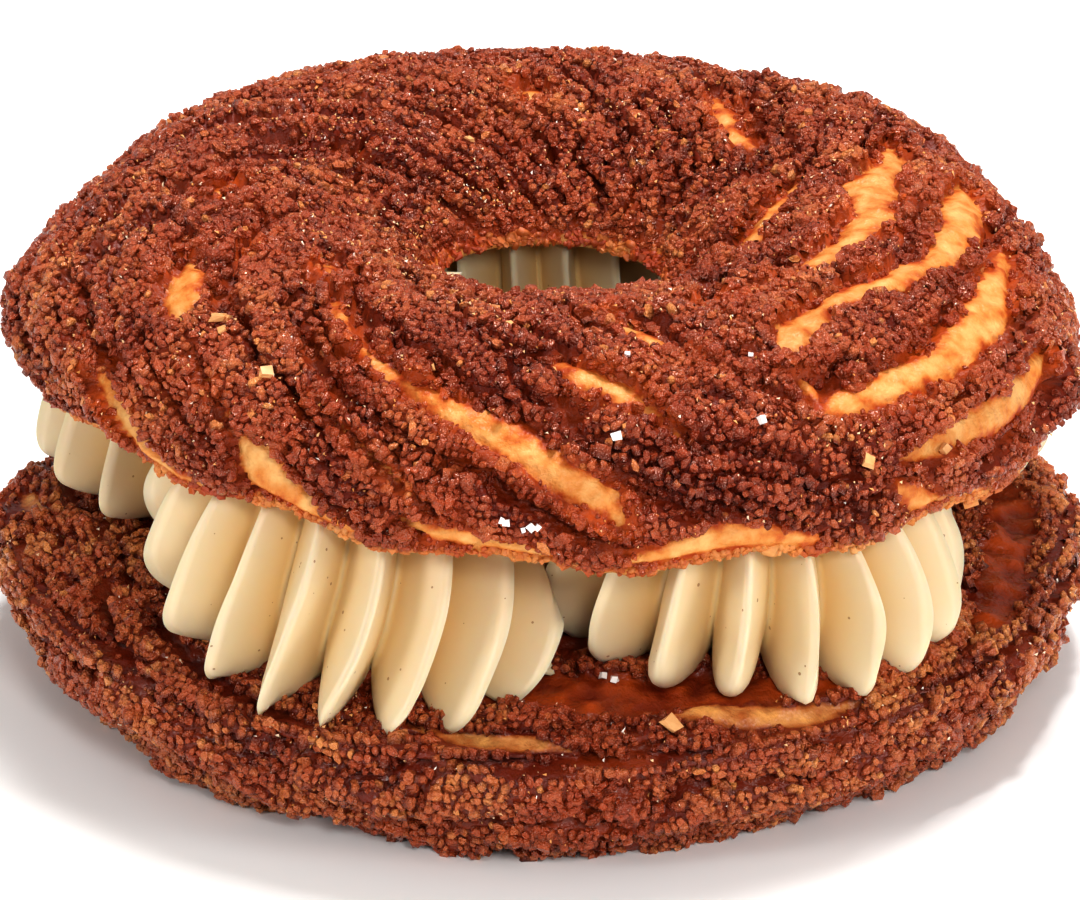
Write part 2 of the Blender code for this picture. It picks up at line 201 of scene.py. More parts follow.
# Loose sugar and crumbs: (round the ring, round the section, size in mm)
LID_CRYSTALS = (
    (155.5, 113, 0.9), (-83, 38, 0.95), (-66.5, 41.5, 0.8), (-79.5, 72, 0.5), (-63, 65.5, 0.5), (28, 101, 0.45),
    (-94.8, 5.8, 0.7), (-95.3, 6.8, 0.5), (-92.4, 4.6, 0.8), (-91.6, 5.6, 0.6), (-93.1, 3.8, 0.5),
)
LID_CHIPS = (
    (-137, 57, 1.5), (-136, 58.5, 0.9), (-134.5, 54, 1.0), (-125.5, 44, 1.5), (-126.5, 47, 0.9), (-55, 21, 1.3),
    (-43.5, 14.5, 1.0), (114.5, 124, 0.9), (-106, 62, 0.6), (-97, 85, 0.6),
)
BASE_CRYSTALS = ((-81, 60.5, 0.8), (-81.8, 64, 0.7), (-80.2, 62, 0.5))
BASE_CHIPS = ((-76.5, 32, 1.6), (-77.6, 33, 1.0))

LID_COLUMNS = 560
LID_ROWS = 104
LID_UNDER_ROWS = 12
BASE_COLUMNS = 620
BASE_ROWS = 66
BASE_INNER_ROWS = 24
FLUTE_COLUMNS = 12
SWIRL_ROWS = 40
GRAIN_SIDES = 6
GRAIN_SPACING = 0.82 * MM
BASE_GRAIN_SPACING = 0.86 * MM
BASE_SIDES_PALER = 0.17                 # the base's colour is made paler toward its left and right
SPARK_SIZE = 0.12 * MM


# ---------------------------------------------------------------- numbers and meshes

def soft_noise(points, cell, seed):
    """Smooth noise, mostly from -1 to 1; cell is the size of its features."""
    table = np.random.default_rng(seed).uniform(-1.5, 1.5, 4096)
    scaled = points / cell + 50.0
    whole = np.floor(scaled).astype(np.int64)
    part = scaled - whole
    part = part * part * (3.0 - 2.0 * part)
    total = np.zeros(points.shape[:-1])
    for corner in range(8):
        step = np.array([corner & 1, corner >> 1 & 1, corner >> 2 & 1])
        x, y, z = np.moveaxis(whole + step, -1, 0)
        key = (x * 73856093 ^ y * 19349663 ^ z * 83492791) & 4095
        total += table[key] * np.where(step == 1, part, 1.0 - part).prod(axis=-1)
    return total


def smooth_step(value, low, high):
    part = np.clip((value - low) / (high - low), 0, 1)
    return part * part * (3.0 - 2.0 * part)


def signed_power(value, power):
    return np.sign(value) * np.abs(value) ** power


def turn_between(around, degrees):
    """The angle from a place on the ring, in radians, from -pi to pi."""
    return (around - math.radians(degrees) + math.pi) % math.tau - math.pi


def lump_sum(around, turn, lumps, ring_radius, section_radius):
    """Height of some smooth swellings, each given by its place, radius and height."""
    total = np.zeros(around.shape)
    for ring_at, section_at, width, height in lumps:
        across = turn_between(around, ring_at) * ring_radius
        along = (turn - math.radians(section_at)) * section_radius
        total += height * np.exp(-(across ** 2 + along ** 2) / (0.6 * width) ** 2)
    return total


def path_margin(around, turn, paths, radius, section, extra=0.0):
    """Distance outside the nearest of some paths, whose points carry a half width in mm.

    Wide stretches are widened by extra, and thin ones by less.
    """
    best = np.full(around.shape, 1.0)
    for path in paths:
        for (a0, t0, w0), (a1, t1, w1) in zip(path, path[1:]):
            run = math.radians(a1 - a0) * radius
            rise = math.radians(t1 - t0) * section
            du = turn_between(around, a0) * radius
            dv = (turn - math.radians(t0)) * section
            part = np.clip((du * run + dv * rise) / (run ** 2 + rise ** 2), 0, 1)
            gap = np.hypot(du - part * run, dv - part * rise)
            wide = w0 + part * (w1 - w0)
            best = np.minimum(best, gap - wide * MM - extra * np.minimum(wide / 0.8, 1.0))
    return best


def even_turns(section, low, high, rows):
    """Angles round a section that divide its length into equal steps."""
    fine = np.linspace(low, high, 3000)
    radius, height = section(fine)
    run = np.concatenate([[0.0], np.cumsum(np.hypot(np.diff(radius), np.diff(height)))])
    return np.interp(np.linspace(0.0, run[-1], rows + 1), run, fine)


def add_mesh(name, points, faces, materials, smooth=True, tone=None):
    """A mesh from an array of points and one of faces; tone is a colour for each point."""
    mesh = bpy.data.meshes.new(name)
    count, corners = faces.shape
    mesh.vertices.add(len(points))
    mesh.vertices.foreach_set("co", points.astype(np.float32).ravel())
    mesh.loops.add(count * corners)
    mesh.loops.foreach_set("vertex_index", faces.astype(np.int32).ravel())
    mesh.polygons.add(count)
    mesh.polygons.foreach_set("loop_start", np.arange(0, count * corners, corners, dtype=np.int32))
    shade = np.broadcast_to(smooth, count)
    mesh.polygons.foreach_set("use_smooth", shade.astype(bool))
    mesh.update(calc_edges=True)
    if tone is not None:
        layer = mesh.color_attributes.new("Tone", "FLOAT_COLOR", "POINT")
        full = np.ones((len(points), 4), dtype=np.float32)
        full[:, :tone.shape[1]] = tone
        layer.data.foreach_set("color", full.ravel())
    mesh.materials.append(materials)
    item = bpy.data.objects.new(name, mesh)
    bpy.context.scene.collection.objects.link(item)
    return item


def sheet_faces(rows, columns, close_rows):
    """Quads of a grid whose columns close round; its rows close too if asked."""
    row = np.arange(rows if close_rows else rows - 1)
    column = np.arange(columns)
    r, c = np.meshgrid(row, column, indexing="ij")
    up = (r + 1) % rows
    side = (c + 1) % columns
    corners = [r * columns + c, r * columns + side, up * columns + side, up * columns + c]
    return np.stack(corners, axis=-1).reshape(-1, 4)


# ---------------------------------------------------------------- the lid's form

def lid_section(turn):
    out = np.cos(turn)
    radius = LID_MID + np.where(out > 0, LID_OUT * np.abs(out) ** LID_SHOULDER, LID_IN * out)
    reach = np.where(np.sin(turn) > 0, LID_RISE, LID_TUCK)
    return radius, LID_WAIST + reach * np.sin(turn)


def rim_height(around):
    """How far the lid's outer edge rises or hangs."""
    wave = np.cos(RIM_WAVES * around + math.radians(RIM_WAVES * 147.0))
    slow = 0.35 * np.sin(5 * around + 0.4)
    return RIM_WAVE * (wave + slow) - RIM_SAG * np.cos(around)


def lid_place(around, turn, lift):
    """Point on the lid at two angles, lifted off its plain form."""
    radius, height = lid_section(turn)
    outer = np.clip((radius - LID_MID) / LID_OUT, 0, 1)
    edge = np.clip(1.0 - (turn - LID_FROM) / 1.1, 0, 1)
    lobes = LID_LOBES * np.cos(3 * (around - math.pi))
    radius = radius + lift * np.cos(turn) + lobes * outer
    height = height + lift * np.sin(turn) + rim_height(around) * edge
    x = radius * np.cos(around)
    y = radius * np.sin(around)
    at = np.stack([x + RING_AT[0] + LID_SHIFT[0], y + RING_AT[1] + LID_SHIFT[1], height + LID_TILT * x], -1)
    return at


def lid_flow(around, turn):
    """Noise drawn out along the ridges; its zeros are the grooves between them."""
    lean = around + SPIRAL_LEAN * turn
    spiral = np.stack([11.0 * np.cos(lean), 11.0 * np.sin(lean), 1.4 * turn], -1)
    along = np.stack([2.6 * np.cos(around), 2.6 * np.sin(around), 4.4 * turn], -1)
    sway = 0.35 * soft_noise(lid_place(around, turn, 0.0), 4.0 * MM, 5)[..., None]
    middle = (RIGHT_FROM + RIGHT_TO) / 2
    reach = math.radians((RIGHT_TO - RIGHT_FROM) / 2)
    right = 1.0 - smooth_step(np.abs(turn_between(around, middle)), reach - 0.08, reach + 0.08)
    return (1.0 - right) * soft_noise(spiral + sway, 1.0, 3) + right * soft_noise(along + sway, 1.0, 4)


def lid_field(around, turn):
    """The crust's relief and looks: height, and how bare, caramelised and grooved each place is."""
    plain = lid_place(around, turn, 0.0)
    broad = soft_noise(plain, 5.0 * MM, 11)
    medium = soft_noise(plain, 1.8 * MM, 12)
    fine = soft_noise(plain, 0.8 * MM, 13)
    ragged = (0.35 * broad + 0.45 * medium + 0.25 * fine) * MM
    section = (LID_OUT + LID_RISE) / 2
    radius = lid_section(turn)[0]
    margin = path_margin(around, turn, LID_CRACKS, radius, section, CRACK_EXTRA) + ragged
    margin = np.minimum(margin, path_margin(around, turn, LID_BARE, radius, section) + 0.6 * ragged)
    margin = np.minimum(margin, (turn - BARE_BELOW) * section + 1.3 * ragged)
    margin = np.minimum(margin, (BARE_ABOVE - turn) * section + 2.0 * ragged)
    plate = smooth_step(margin, -0.1 * MM, 0.45 * MM)
    flow = lid_flow(around, turn)
    groove = 1.0 - smooth_step(np.abs(flow), 0.03, 0.32)
    ridge = np.clip(np.abs(flow) / 0.7, 0, 1) ** 0.6
    fade = smooth_step(turn, LID_FROM, LID_FROM + 0.35) * smooth_step(LID_TO - turn, 0.0, 0.5)
    inner = smooth_step(turn, math.radians(-12), math.radians(8))
    swell = lump_sum(around, turn, LID_LUMPS, LID_MID + LID_OUT, section)
    lip = EDGE_LIP * np.exp(-((margin - 0.7 * MM) / (0.7 * MM)) ** 2)
    plated = RIDGE_HEIGHT * ridge - GROOVE_DEPTH * groove + lip + (0.3 * medium + 0.1 * fine - 0.3) * MM
    bulge = 0.35 * MM * smooth_step(-margin, 0.0, 1.4 * MM)
    opened = -CRACK_DEPTH * (0.35 + 0.65 * inner) + bulge + 0.22 * MM * medium + 0.14 * MM * fine
    height = (swell + plate * plated + (1.0 - plate) * opened) * fade
    teeth = 1.0 - smooth_step(turn, LID_FROM, LID_FROM + 0.2)
    height = height + teeth * (0.3 * fine + 0.2 * medium) * MM
    caramel = np.exp(-np.abs(margin) / (1.3 * MM)) * (0.7 + 0.4 * medium)
    # The groove term paints shade and glow into the grooves between ridges.
    caramel = np.clip(caramel + 0.25 * groove * plate + 0.25 * broad, 0, 1)
    return height, 1.0 - plate, caramel, groove, margin


def margin_tone(margin):
    """A distance of -2 to 2 mm as a tone of 0 to 1."""
    return np.clip(0.5 + margin / (4.0 * MM), 0, 1)


def tint_noise(points, seed):
    return 0.5 + 0.16 * soft_noise(points, 7.0 * MM, seed) + 0.14 * soft_noise(points, 2.0 * MM, seed + 1)


def build_lid(material):
    """The lid's choux and its plates of crust, one closed ring."""
    turns = even_turns(lid_section, LID_FROM, LID_TO, LID_ROWS)
    around = np.linspace(0, math.tau, LID_COLUMNS, endpoint=False)
    turn, ring = np.meshgrid(turns, around, indexing="ij")
    height, bare, caramel, groove, margin = lid_field(ring, turn)
    top = lid_place(ring, turn, height - UNDER_GRAINS * (1.0 - bare))
    inner = top[-1]
    outer = top[0]
    rim = rim_height(around)
    width = np.hypot(*(outer - inner)[:, :2].T)
    unders = []
    tones = []
    for step in range(1, LID_UNDER_ROWS + 1):
        part = step / (LID_UNDER_ROWS + 1)
        row = inner + (outer - inner) * part
        edge = np.clip((part - 1.0) * width / LID_SEAT + 1.0, 0, 1)
        row[:, 2] += rim * (edge - part) + 0.12 * MM * soft_noise(row, 1.5 * MM, 21)
        unders.append(row)
        tones.append(np.tile([0.5, 0.25, 0.0], (LID_COLUMNS, 1)))
    points = np.concatenate([top, np.array(unders)]).reshape(-1, 3)
    tone = np.stack([tint_noise(top, 31), caramel, margin_tone(margin)], -1).reshape(-1, 3)
    tone = np.concatenate([tone, np.array(tones).reshape(-1, 3)])
    faces = sheet_faces(LID_ROWS + 1 + LID_UNDER_ROWS, LID_COLUMNS, True)
    return add_mesh("lid_crust", points, faces, material, tone=tone)


# ---------------------------------------------------------------- the base's form

def base_section(turn):
    power = np.where(np.sin(turn) > 0, 1.0, BASE_FLANK)
    radius = BASE_MID + BASE_HALF * signed_power(np.cos(turn), power)
    reach = np.where(np.sin(turn) > 0, BASE_RISE, BASE_SINK)
    return radius, np.maximum(BASE_WAIST + reach * np.sin(turn), 0.0)


BASE_FOOT = -math.asin(BASE_WAIST / BASE_SINK)


def base_relief(around, turn):
    """The part's own rolls and lumps."""
    along = (turn - BASE_FOOT) / (math.pi / 2 - BASE_FOOT)
    sway = 0.09 * np.sin(3 * around + 0.6) + 0.06 * np.sin(7 * around + 2.0)
    rolls = np.cos(math.tau * BASE_ROLLS * (along + sway))
    low_fade = np.clip(along / 0.05, 0, 1)
    roll_fade = low_fade * np.clip((0.62 - along) / 0.15, 0, 1)
    lump_fade = low_fade * np.clip((0.85 - along) / 0.25, 0, 1)
    lumps = lump_sum(around, turn, BASE_LUMPS, BASE_MID + BASE_HALF, (BASE_HALF + BASE_WAIST) / 2)
    return BASE_ROLL_DEPTH * rolls * roll_fade + lumps * lump_fade


def base_place(around, turn, lift):
    radius, height = base_section(turn)
    radius = radius + lift * np.cos(turn)
    height = np.maximum(height + lift * np.sin(turn), 0.0)
    return np.stack([radius * np.cos(around) + RING_AT[0], radius * np.sin(around) + RING_AT[1], height], -1)


def base_top(x, y):
    """Height of the base's upper surface under the cream, on the ring's own axes."""
    across = np.clip((np.hypot(x, y) - BASE_MID) / BASE_HALF, -0.97, 0.97)
    turn = np.arccos(across)
    slope = BASE_RISE / BASE_HALF / np.tan(turn)
    relief = base_relief(np.arctan2(y, x), turn) * (np.sin(turn) + slope * np.cos(turn))
    return BASE_WAIST + BASE_RISE * np.sin(turn) + relief


def base_field(around, turn):
    """The base's relief and looks: height, and how bare, glazed and grooved each place is."""
    plain = base_place(around, turn, 0.0)
    broad = soft_noise(plain, 5.0 * MM, 41)
    medium = soft_noise(plain, 1.8 * MM, 42)
    fine = soft_noise(plain, 0.8 * MM, 43)
    ragged = (0.35 * broad + 0.45 * medium + 0.25 * fine) * MM
    section = (BASE_HALF + BASE_WAIST) / 2
    radius = base_section(turn)[0]
    margin = path_margin(around, turn, BASE_BARE, radius, section) + ragged
    bare = smooth_step(-margin, -0.4 * MM, 0.2 * MM)
    glaze = smooth_step(-path_margin(around, turn, BASE_GLAZE, radius, section) - ragged, -0.9 * MM, 0.3 * MM)
    cut = smooth_step(-path_margin(around, turn, BASE_GROOVES, radius, section) - 0.5 * ragged, -0.9 * MM, 0.1 * MM)
    along = (turn - BASE_FOOT) / (math.pi / 2 - BASE_FOOT)
    sway = 0.09 * np.sin(3 * around + 0.6) + 0.06 * np.sin(7 * around + 2.0)
    flow = np.stack([2.2 * np.cos(around), 2.2 * np.sin(around), 1.2 * turn], -1)
    wander = 0.10 * soft_noise(flow, 0.35, 44) + 0.03 * broad
    phase = np.abs(np.cos(math.pi * BASE_ROLLS * (along + sway + wander)))
    depth = 0.75 + 0.35 * soft_noise(flow, 0.5, 45)
    groove = (1.0 - smooth_step(phase, 0.0, 0.5)) * np.clip(depth, 0, 1)
    folds = np.abs(np.cos(math.pi * BASE_FOLDS * (along + sway + 1.3 * wander)))
    folded = smooth_step(soft_noise(flow, 0.8, 46), -0.5, 0.3)
    crease = 0.75 * folded * (1.0 - smooth_step(folds, 0.0, 0.5))
    groove = np.maximum(np.maximum(groove, crease), cut)
    low_fade = smooth_step(along, 0.0, 0.06)
    outside = smooth_step(1.15 - along, 0.0, 0.4)
    sugar = 1.0 - np.clip(bare + glaze, 0, 1)
    crust = 1.0 * MM * phase ** 0.6 - 2.2 * MM * groove + (0.35 * medium + 0.15 * fine) * MM
    soft = -0.3 * MM + 0.4 * MM * medium + 0.2 * MM * fine + 0.2 * MM * broad
    height = base_relief(around, turn) + low_fade * outside * (sugar * crust + (1.0 - sugar) * soft)
    caramel = np.clip(0.3 * broad + (0.65 + 0.4 * medium) * glaze, 0, 1)
    return height, bare * (1.0 - glaze), caramel, groove, glaze, margin + 4.0 * MM * glaze


def build_base(material):
    outer = even_turns(base_section, BASE_FOOT, math.radians(88.0), BASE_ROWS)
    inner = even_turns(base_section, math.radians(88.0), math.pi - BASE_FOOT, BASE_INNER_ROWS)[1:]
    around = np.linspace(0, math.tau, BASE_COLUMNS, endpoint=False)
    turn, ring = np.meshgrid(np.concatenate([outer, inner]), around, indexing="ij")
    height, bare, caramel, groove, glaze, margin = base_field(ring, turn)
    points = base_place(ring, turn, height - UNDER_GRAINS * (1.0 - np.clip(bare + glaze, 0, 1)))
    tone = np.stack([tint_noise(points, 51), caramel, margin_tone(margin)], -1).reshape(-1, 3)
    faces = sheet_faces(len(points), BASE_COLUMNS, True)
    return add_mesh("base_crust", points.reshape(-1, 3), faces, material, tone=tone)


# ---------------------------------------------------------------- grains of baked sugar

def grain_shapes(rng, count):
    """Unit nuggets: a foot sunk in the crust and a smaller tilted top."""
    shapes = []
    for _ in range(count):
        rows = []
        for radius, height in ((0.51, -0.50), (0.385, 0.38)):
            angles = (np.arange(GRAIN_SIDES) + rng.uniform(-0.3, 0.3, GRAIN_SIDES)) * math.tau / GRAIN_SIDES
            size = radius * rng.uniform(0.75, 1.25, GRAIN_SIDES)
            tall = height + rng.uniform(-0.1, 0.1, GRAIN_SIDES)
            rows.append(np.stack([size * np.cos(angles), size * np.sin(angles), tall], -1))
        shapes.append(np.concatenate(rows))
    return np.array(shapes)


def grain_faces():
    faces = []
    for side in range(GRAIN_SIDES):
        after = (side + 1) % GRAIN_SIDES
        faces.append((side, after, GRAIN_SIDES + after))
        faces.append((side, GRAIN_SIDES + after, GRAIN_SIDES + side))
    for side in range(1, GRAIN_SIDES - 1):
        faces.append((GRAIN_SIDES, GRAIN_SIDES + side, GRAIN_SIDES + side + 1))
    return np.array(faces)


def grain_spots(section, low, high, spacing, rng):
    """Uneven rows of places round a ring, about one spacing apart."""
    fine = np.linspace(low, high, 3000)
    radius, height = section(fine)
    length = np.hypot(np.diff(radius), np.diff(height)).sum()
    turns = even_turns(section, low, high, int(length / (0.87 * spacing)))
    around = []
    turn = []
    for at in turns:
        count = int(math.tau * float(section(np.array([at]))[0][0]) / spacing)
        jitter = rng.uniform(-0.3, 0.3, count)
        around.append((np.arange(count) + jitter + rng.uniform()) * math.tau / count)
        turn.append(np.full(count, at) + rng.uniform(-0.22, 0.22, count) * spacing / (17.0 * MM))
    return np.concatenate(around), np.concatenate(turn)


def surface_axes(place, field, around, turn):
    """Points on a relief, and its directions round the ring, along the section and outward."""
    step = 0.012
    here = place(around, turn, field(around, turn)[0])
    ahead = place(around + step, turn, field(around + step, turn)[0])
    above = place(around, turn + step * 2, field(around, turn + step * 2)[0])
    side = ahead - here
    rise = above - here
    out = np.cross(side, rise)
    side = side / np.linalg.norm(side, axis=-1, keepdims=True)
    out = out / np.linalg.norm(out, axis=-1, keepdims=True)
    return here, side, np.cross(out, side), out


def build_grains(name, spots, place, field, sizes, keep, tones, golden, material, rng):
    """One mesh of nuggets, each turned at random on the surface."""
    around, turn = spots
    here, side, rise, out = surface_axes(place, field, around, turn)
    chosen = keep(field(around, turn)) & (rng.uniform(size=len(around)) > 0.03)
    here, side, rise, out = here[chosen], side[chosen], rise[chosen], out[chosen]
    around, turn = around[chosen], turn[chosen]
    count = len(here)
    size = sizes * np.clip(rng.lognormal(0.0, 0.2, count) + 0.15 * soft_noise(here, 3.5 * MM, 71), 0.55, 2.0)
    spin = rng.uniform(0, math.tau, count)
    tilt = rng.normal(0, 0.22, (count, 2))
    u = side * np.cos(spin)[:, None] + rise * np.sin(spin)[:, None]
    n = out + u * tilt[:, :1] + np.cross(out, u) * tilt[:, 1:]
    n /= np.linalg.norm(n, axis=-1, keepdims=True)
    u = u - n * (u * n).sum(-1, keepdims=True)
    u /= np.linalg.norm(u, axis=-1, keepdims=True)
    v = np.cross(n, u)
    shapes = grain_shapes(rng, 40)[rng.integers(0, 40, count)]
    stretch = rng.uniform(0.8, 1.6, (count, 1, 1))
    tall = rng.uniform(0.85, 1.15, (count, 1, 1))
    x = shapes[..., :1] * stretch
    y = shapes[..., 1:2] / np.sqrt(stretch)
    z = shapes[..., 2:3] * tall
    local = x * u[:, None] + y * v[:, None] + z * n[:, None]
    points = here[:, None] + local * size[:, None, None]
    points[..., 2] = np.maximum(points[..., 2], 0.0)
    template = grain_faces()
    faces = template[None] + (np.arange(count) * 2 * GRAIN_SIDES)[:, None, None]
    # Feet 1 and tops 0: the material paints shade over each grain's foot.
    low = np.concatenate([np.ones(GRAIN_SIDES), np.zeros(GRAIN_SIDES)])
    tint, caramel = tones(here, around, turn, field(around, turn))
    lighter = 0.45 * (rng.uniform(size=count) < golden)
    tint = np.clip(tint + rng.normal(0, 0.08, count) + lighter, 0, 1)
    gloss = rng.uniform(size=count) ** 2
    tone = np.stack(np.broadcast_arrays(tint[:, None], caramel[:, None], low[None], gloss[:, None]), -1)
    smooth = np.repeat(rng.uniform(size=count) < 0.5, len(template))
    item = add_mesh(name, points.reshape(-1, 3), faces.reshape(-1, 3), material, smooth, tone.reshape(-1, 4))
    return item


def lid_keep(looks):
    height, bare, caramel, groove, margin = looks
    return (margin > -0.25 * MM) & (groove < 0.88)


def lid_tones(here, around, turn, looks):
    height, bare, caramel, groove, margin = looks
    # Painted shade: grains in the grooves get a lower tint, so the grooves read darker.
    return tint_noise(here, 31) - 0.45 * groove, caramel


def base_keep(looks):
    height, bare, caramel, groove, glaze, margin = looks
    return (bare < 0.6) & (glaze < 0.55) & (groove < 0.85)


def base_tones(here, around, turn, looks):
    height, bare, caramel, groove, glaze, margin = looks
    paler = 0.10 + BASE_SIDES_PALER * np.cos(around) ** 2
    # Painted shade: grains in the grooves and folds get a lower tint, so they read darker.
    return tint_noise(here, 51) + paler - 0.4 * groove, caramel


# ---------------------------------------------------------------- crystals and crumbs

def box_shape(rng, flat):
    """A chipped block of unit size; flat ones are the more uneven."""
    corners = np.array([(x, y, z) for z in (-0.5, 0.5) for y in (-0.5, 0.5) for x in (-0.5, 0.5)])
    uneven = 0.32 - 0.25 * flat
    return (corners + rng.uniform(-uneven, uneven, corners.shape)) * (1.0, 0.85, flat)


BOX_FACES = np.array([(0, 2, 3, 1), (4, 5, 7, 6), (0, 1, 5, 4), (1, 3, 7, 5), (3, 2, 6, 7), (2, 0, 4, 6)])


def build_bits(name, places, place, field, flat, sink, material, rng):
    """Loose blocks on the crust, one for each (round the ring, round the section, size in mm)."""
    around, turn, size = np.array(places).T
    around, turn, size = np.radians(around), np.radians(turn), size * MM
    here, side, rise, out = surface_axes(place, field, around, turn)
    points = []
    for at, u, v, n, width in zip(here, side, rise, out, size):
        spin = rng.uniform(0, math.tau)
        a = u * math.cos(spin) + v * math.sin(spin) + n * rng.normal(0, 0.25)
        a = a / np.linalg.norm(a)
        b = np.cross(n, a)
        b = b / np.linalg.norm(b)
        block = box_shape(rng, flat) * width
        points.append(at + n * sink * MM + block[:, :1] * a + block[:, 1:2] * b + block[:, 2:] * np.cross(a, b))
    faces = BOX_FACES[None] + (np.arange(len(points)) * 8)[:, None, None]
    return add_mesh(name, np.concatenate(points), faces.reshape(-1, 4), material, smooth=False)


SPARK = np.array([(1, 1, 1), (1, -1, -1), (-1, 1, -1), (-1, -1, 1)]) * 0.75
SPARK_FACES = np.array([(0, 1, 2), (0, 3, 1), (0, 2, 3), (1, 3, 2)])


def build_painted_glints(name, count, low, high, place, field, keep, material, rng):
    """Tiny specks of sugar scattered on the crust; their pale colours are painted glints."""
    around = rng.uniform(0, math.tau, count)
    turn = rng.uniform(low, high, count)
    crowd = soft_noise(place(around, turn, 0.0), 4.0 * MM, 91)
    chosen = keep(field(around, turn)) & (crowd + rng.normal(0, 0.5, count) > 0.2)
    around, turn = around[chosen], turn[chosen]
    count = len(around)
    here, side, rise, out = surface_axes(place, field, around, turn)
    size = SPARK_SIZE * rng.uniform(0.5, 1.2, (count, 1, 1))
    centre = here + out * rng.uniform(0.25, 0.45, (count, 1)) * MM
    along = rng.normal(size=(count, 1, 3))
    along /= np.linalg.norm(along, axis=-1, keepdims=True)
    corners = SPARK[None] * rng.uniform(0.6, 1.3, (count, 4, 1))
    corners = corners + along * (corners * along).sum(-1, keepdims=True) * rng.uniform(0.0, 1.6, (count, 1, 1))
    points = centre[:, None] + corners * size
    faces = SPARK_FACES[None] + (np.arange(count) * 4)[:, None, None]
    tint = np.repeat(rng.uniform(size=count) ** 2, 4)
    tone = np.stack([tint, tint, tint], -1)
    return add_mesh(name, points.reshape(-1, 3), faces.reshape(-1, 3), material, False, tone)


def build_rim_crumbs(material, rng):
    """Small torn crumbs of choux along the lid's lowest edge and round its hole."""
    outer = 2400
    inner = 700
    around = rng.uniform(0, math.tau, outer + inner)
    turn = np.concatenate([LID_FROM + rng.uniform(0.0, 0.16, outer) ** 1.2,
                           LID_TO - rng.uniform(0.0, 0.10, inner)])
    def keep(looks):
        return looks[1] > 0.2
    def tones(here, around, turn, looks):
        inside = 0.25 * (turn > math.pi / 2)
        return 0.38 + 0.3 * soft_noise(here, 4.0 * MM, 61) - inside, looks[2] * 0.6
    return build_grains("rim_crumbs", (around, turn), lid_place, lid_field, 0.74 * MM, keep, tones, 0.0,
                        material, rng)


# ---------------------------------------------------------------- cream

def lid_under(x, y):
    """Height that the cream may rise to, on the ring's own axes."""
    x = x - LID_SHIFT[0]
    y = y - LID_SHIFT[1]
    around = np.arctan2(y, x)
    radius = np.hypot(x, y)
    (outer, inner), (outer_z, inner_z) = lid_section(np.array([LID_FROM, LID_TO]))
    slope = (outer_z - inner_z) / (outer - inner)
    edge = np.clip((radius - outer + LID_SEAT) / LID_SEAT, 0, 1)
    hang = rim_height(around)
    hang = np.minimum(hang, 0.4 * hang)
    return inner_z + slope * (radius - inner) + hang * edge + LID_TILT * x


def neighbour_limit(turn, centre, hub_x, hub_y):
    """How far a swirl may reach past the plane it shares with a neighbour.

    It tucks in behind the swirl on its left and lies over the one on its right.
    """
    limit = np.full(turn.shape, 1.0)
    for side, merge in ((-1, 2.4 * SWIRL_MERGE), (1, SWIRL_MERGE)):
        normal = centre + side * (math.pi / SWIRL_COUNT + math.pi / 2)
        facing = np.cos(turn - normal)
        tuck = SWIRL_TUCK * smooth_step(side * (turn - centre), math.radians(75), math.radians(98))
        wall = -(hub_x * math.cos(normal) + hub_y * math.sin(normal)) + merge - tuck * (side > 0)
        limit = np.where(facing > 0.05, np.minimum(limit, wall / np.maximum(facing, 0.05)), limit)
    return limit


